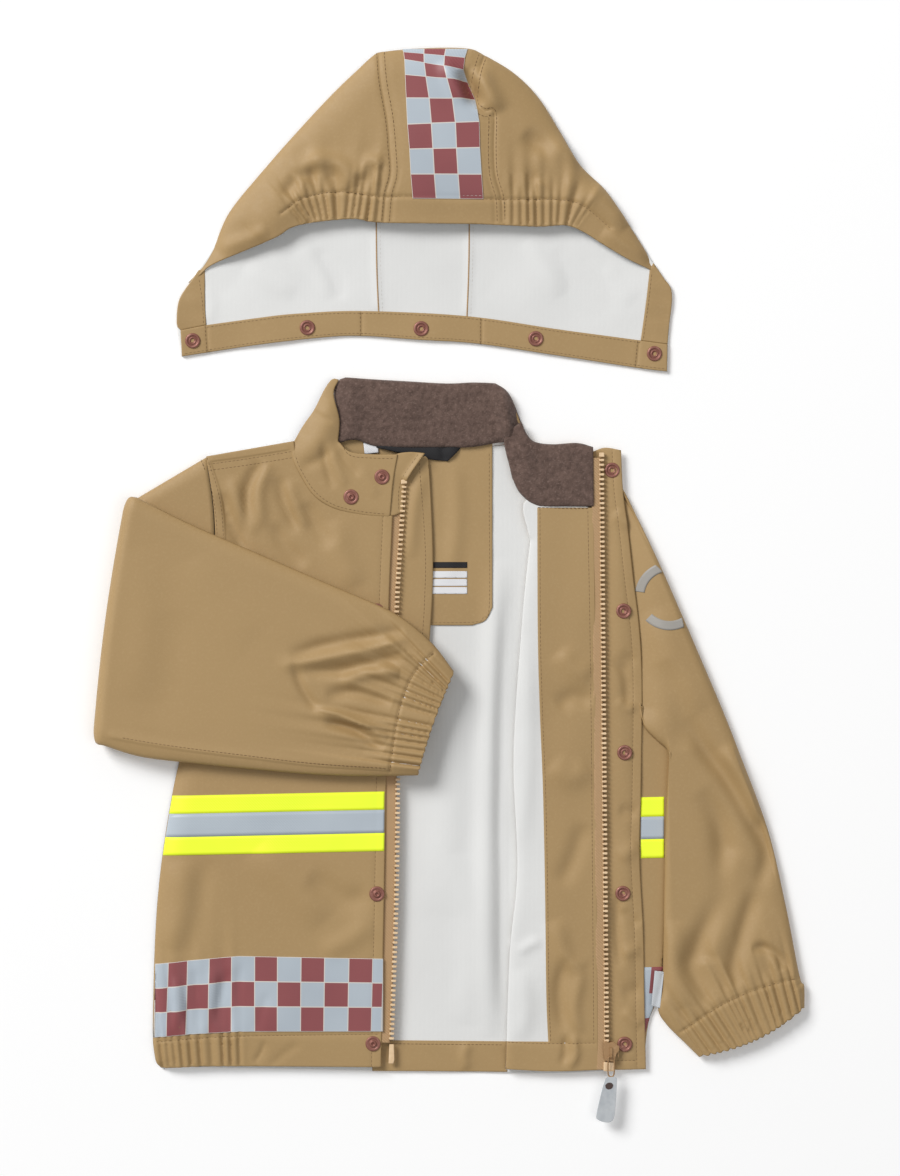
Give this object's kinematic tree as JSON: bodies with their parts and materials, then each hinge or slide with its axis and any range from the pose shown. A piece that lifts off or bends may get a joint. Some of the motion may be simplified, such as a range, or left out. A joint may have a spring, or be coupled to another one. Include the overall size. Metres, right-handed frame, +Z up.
{
  "type": "turnout coat",
  "caption": "Child's turnout coat laid flat: one front closed, one folded open on its zip and snap flap, a sleeve across the chest, gathered cuffs, reflective trim and a loose hood.",
  "frame": {"origin": "on the table under the middle of the laid-out coat and hood", "axes": "+Z up off the table, +Y from the hem to the hood, +X towards the wearer's left"},
  "size_m": [0.556, 0.84, 0.022],
  "materials": {
    "coated_cloth": "matte, polyurethane-coated",
    "white_knit": "fine knitted backing",
    "fleece": "short brushed fleece",
    "film_silver": "retroreflective film",
    "film_lime": "fluorescent film",
    "film_red": "matte printed film",
    "zip_tape": "woven tape",
    "zip_resin": "moulded acetal",
    "slider_metal": "painted zinc",
    "snap_metal": "satin lacquered brass",
    "label_cloth": "woven satin label",
    "label_dark": "woven tape",
    "elastic": "braided elastic",
    "pull_tab": "moulded flexible tab"
  },
  "bodies": {
    "coat": {"back_panel": "coated_cloth", "right_front_panel": "coated_cloth", "right_side_seam": "coated_cloth", "left_front_side": "coated_cloth", "back_neck_facing": "coated_cloth", "inside_labels": "label_cloth", "hanger_loop": "label_dark", "hem_facing_back": "coated_cloth", "hem_facing_right_front": "coated_cloth", "hem_elastic_right": "elastic", "hem_elastic_left": "elastic", "collar_outer_back": "coated_cloth", "collar_fleece_back": "fleece", "collar_outer_right": "coated_cloth", "collar_fleece_right": "fleece", "hood_studs_neck": "snap_metal", "zip_tape_right": "zip_tape", "zip_teeth_right": "zip_resin", "zip_pin_right": "zip_resin", "zip_top_stop_right": "zip_resin", "zip_guard": "coated_cloth", "front_snap_studs": "snap_metal", "tape_lime": "film_lime", "tape_silver": "film_silver", "check_band_base": "film_silver", "check_band_red": "film_red", "side_label": "label_cloth", "right_sleeve_upper": "coated_cloth"},
    "left_front": {"left_front_panel": "coated_cloth", "left_front_facing": "coated_cloth", "collar_outer_left": "coated_cloth", "collar_fleece_left": "fleece", "zip_tape_left": "zip_tape", "zip_teeth_left": "zip_resin", "zip_top_stop_left": "zip_resin", "zip_retainer_box": "zip_resin", "storm_flap": "coated_cloth", "flap_snap_sockets": "snap_metal", "hood_stud_left": "snap_metal"},
    "right_sleeve": {"right_sleeve_lower": "coated_cloth", "right_cuff": "coated_cloth", "right_cuff_elastic": "elastic"},
    "left_sleeve": {"left_sleeve_head": "coated_cloth", "left_sleeve_lower": "coated_cloth", "left_cuff": "coated_cloth", "left_cuff_elastic": "elastic", "left_sleeve_ring": "film_silver"},
    "zip_slider": {"zip_slider_body": "slider_metal"},
    "zip_pull": {"zip_pull_link": "slider_metal", "zip_pull_tab": "pull_tab"},
    "hood": {"hood_panel_centre": "coated_cloth", "hood_panel_right": "coated_cloth", "hood_panel_left": "coated_cloth", "hood_neck_band": "coated_cloth", "hood_corner_facings": "coated_cloth", "hood_brim_hem": "coated_cloth", "hood_brim_elastic": "elastic", "hood_reflective_strip": "film_silver", "hood_check_red": "film_red", "hood_snap_sockets": "snap_metal"}
  },
  "joints": [
    {"name": "left_front_fold", "type": "hinge", "parent": "coat", "child": "left_front", "pos_m": [0.042, 0, 0.0046], "axis": [0, -1, 0], "range_deg": [0, 150]},
    {"name": "right_sleeve_fold", "type": "hinge", "parent": "coat", "child": "right_sleeve", "pos_m": [-0.252, 0.069, 0.011], "axis": [-0.1335, -0.991, 0], "range_deg": [0, 175]},
    {"name": "left_sleeve_fold", "type": "hinge", "parent": "coat", "child": "left_sleeve", "pos_m": [0.138, 0.073, 0.0098], "axis": [0.0928, -0.9957, 0], "range_deg": [0, 165]},
    {"name": "zip_slide", "type": "slide", "parent": "left_front", "child": "zip_slider", "axis": [-0.0085, 1, 0], "range_m": [0, 0.43]},
    {"name": "zip_pull_tilt", "type": "hinge", "parent": "zip_slider", "child": "zip_pull", "pos_m": [0.12647, -0.36797, 0.0113], "axis": [-1, -0.0085, 0], "range_deg": [0, 165]},
    {"name": "hood_lift", "type": "slide", "parent": "coat", "child": "hood", "axis": [0, 0, 1], "range_m": [0, 0.25]}
  ]
}
